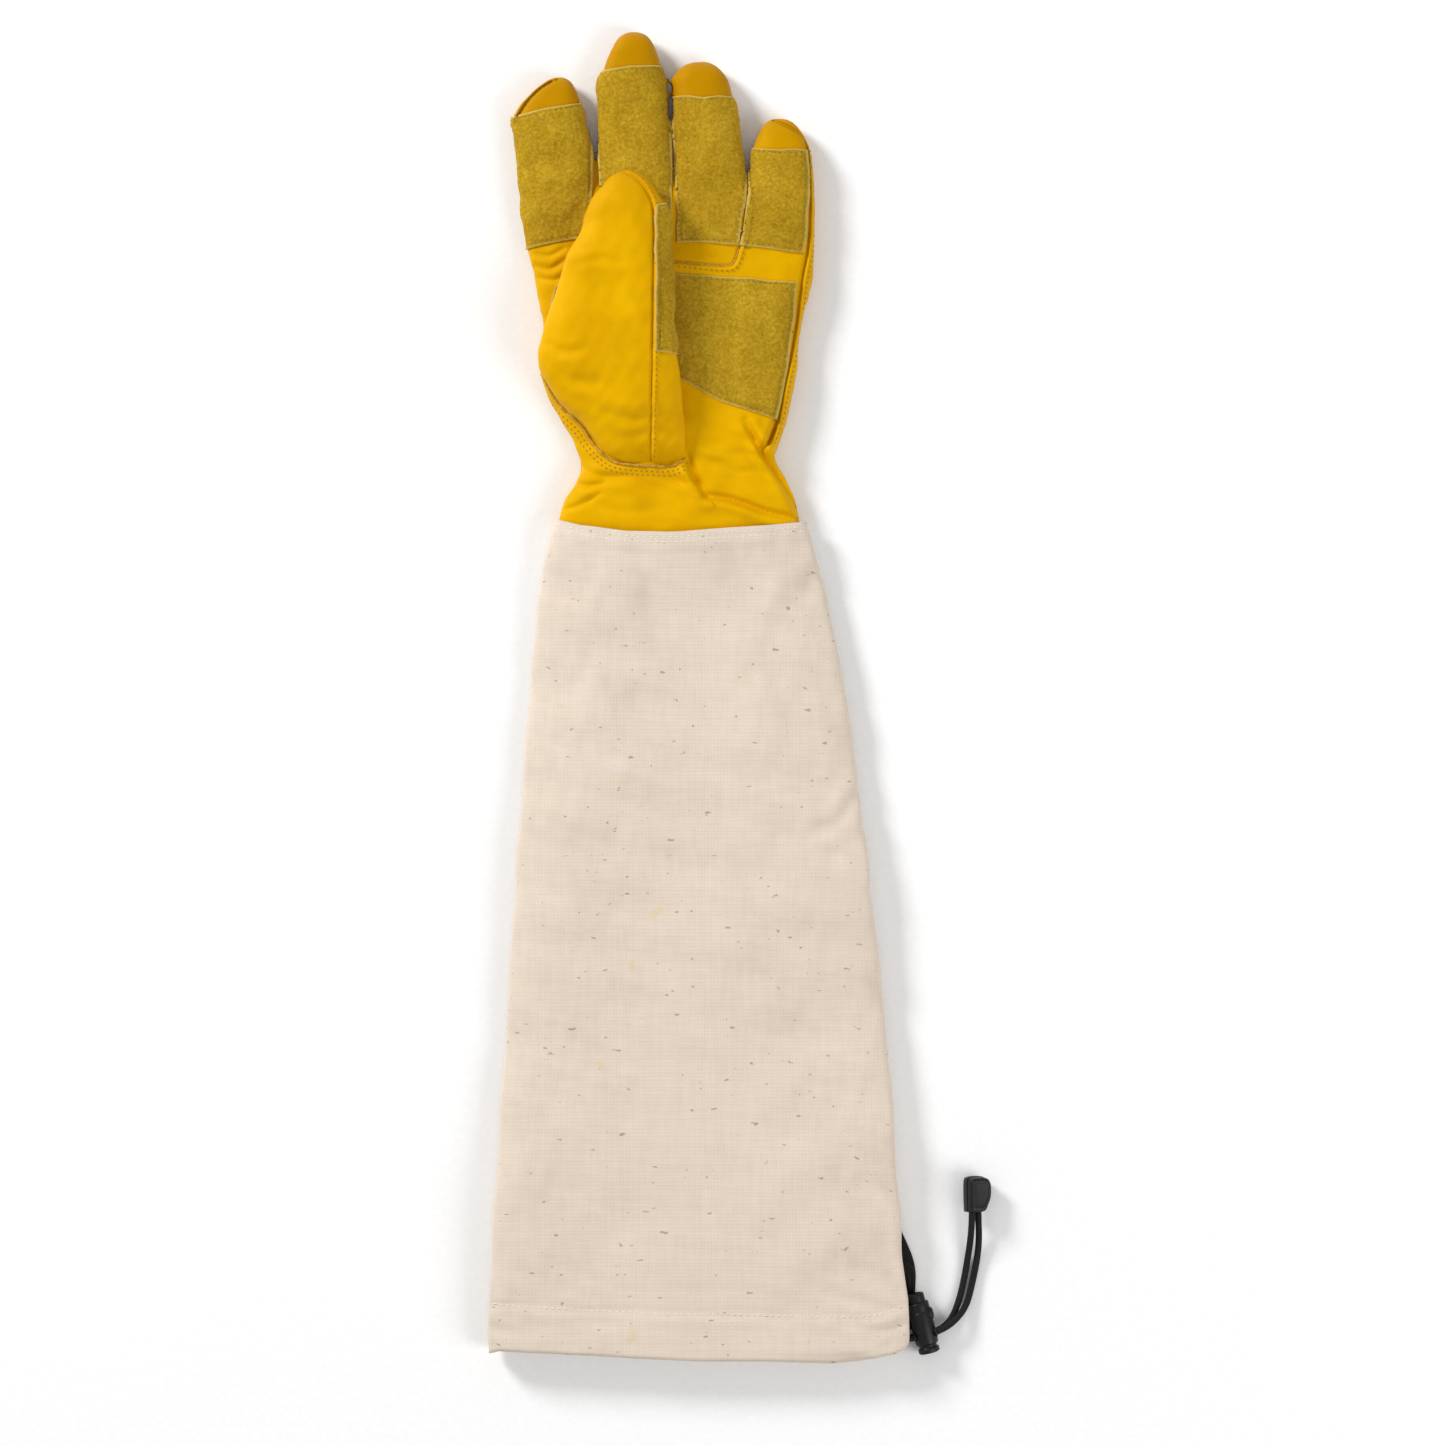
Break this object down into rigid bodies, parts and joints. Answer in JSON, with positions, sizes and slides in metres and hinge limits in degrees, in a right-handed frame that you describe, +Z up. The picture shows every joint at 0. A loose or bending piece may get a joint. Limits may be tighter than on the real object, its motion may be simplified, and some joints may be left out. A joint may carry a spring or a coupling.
{
  "type": "beekeeping glove",
  "caption": "Left-hand beekeeping glove: leather hand with suede patches, long canvas sleeve, elastic hem cord with a barrel lock.",
  "frame": {"origin": "on the ground at the middle of the laid-flat glove, half way between the hem and the middle fingertip", "axes": "+Y towards the fingertips, +Z up out of the palm, +X towards the little finger"},
  "size_m": [0.2662, 0.701, 0.0412],
  "materials": {
    "leather": "smooth grain, satin",
    "suede": "napped suede, matt",
    "canvas": "plain weave cotton canvas, matt",
    "elastic": "woven elastic",
    "cord": "braided elastic cord, matt",
    "webbing": "woven tape",
    "plastic": "moulded, satin",
    "spring_steel": "drawn wire"
  },
  "bodies": {
    "sleeve": {"sleeve_back": "canvas", "sleeve_front": "canvas", "hem_back": "canvas", "hem_front": "canvas", "hem_drawcord": "cord", "wrist_back": "leather", "wrist_front": "leather", "strand_lower": "cord", "strand_upper": "cord", "lock_barrel": "plastic", "lock_spring": "spring_steel", "cord_end_base": "plastic", "cord_end_cover": "plastic", "tether_tape": "webbing"},
    "lock_button": {"lock_plunger": "plastic"},
    "hand": {"back_panel": "leather", "palm_panel": "leather", "middle_ring_front": "leather", "wrist_elastic": "elastic", "fourchette_index_middle": "leather", "fourchette_middle_ring": "leather", "fourchette_ring_little": "leather", "index_patch_base": "suede", "middle_patch_base": "suede", "ring_patch_base": "suede", "little_patch_base": "suede", "palm_patch": "suede", "thumb_root": "leather"},
    "thumb": {"thumb_outer": "leather", "thumb_inner": "leather", "thumb_patch": "suede"},
    "index_finger": {"index_tip_back": "leather", "index_tip_front": "leather", "index_fourchette_index_middle": "leather", "index_patch_tip": "suede"},
    "middle_finger": {"middle_tip_back": "leather", "middle_tip_front": "leather", "middle_fourchette_index_middle": "leather", "middle_fourchette_middle_ring": "leather", "middle_patch_tip": "suede"},
    "ring_finger": {"ring_tip_back": "leather", "ring_tip_front": "leather", "ring_fourchette_middle_ring": "leather", "ring_fourchette_ring_little": "leather", "ring_patch_tip": "suede"},
    "little_finger": {"little_tip_back": "leather", "little_tip_front": "leather", "little_fourchette_ring_little": "leather", "little_patch_tip": "suede"}
  },
  "joints": [
    {"name": "wrist_bend", "type": "hinge", "parent": "sleeve", "child": "hand", "pos_m": [0, 0.114, 0.0181], "axis": [1, 0, 0], "range_deg": [0, 75]},
    {"name": "thumb_swing", "type": "hinge", "parent": "hand", "child": "thumb", "pos_m": [-0.04505, 0.1485, 0.04], "axis": [0.8731, -0.4875, 0], "range_deg": [0, 75]},
    {"name": "index_curl", "type": "hinge", "parent": "hand", "child": "index_finger", "pos_m": [-0.075, 0.282, 0.0195], "axis": [0.9903, 0.1392, 0], "range_deg": [0, 90]},
    {"name": "middle_curl", "type": "hinge", "parent": "hand", "child": "middle_finger", "pos_m": [-0.033, 0.282, 0.0195], "axis": [0.999, 0.0436, 0], "range_deg": [0, 90]},
    {"name": "ring_curl", "type": "hinge", "parent": "hand", "child": "ring_finger", "pos_m": [0.0059, 0.282, 0.0195], "axis": [0.9951, 0.0993, 0], "range_deg": [0, 90]},
    {"name": "little_curl", "type": "hinge", "parent": "hand", "child": "little_finger", "pos_m": [0.0444, 0.272, 0.0195], "axis": [0.9969, 0.0785, 0], "range_deg": [0, 90]},
    {"name": "lock_press", "type": "slide", "parent": "sleeve", "child": "lock_button", "axis": [0.247, -0.969, 0], "range_m": [0, 0.003], "stiffness_N_per_m": 300, "springref_m": -0.001, "deforming": ["lock_spring"]}
  ]
}
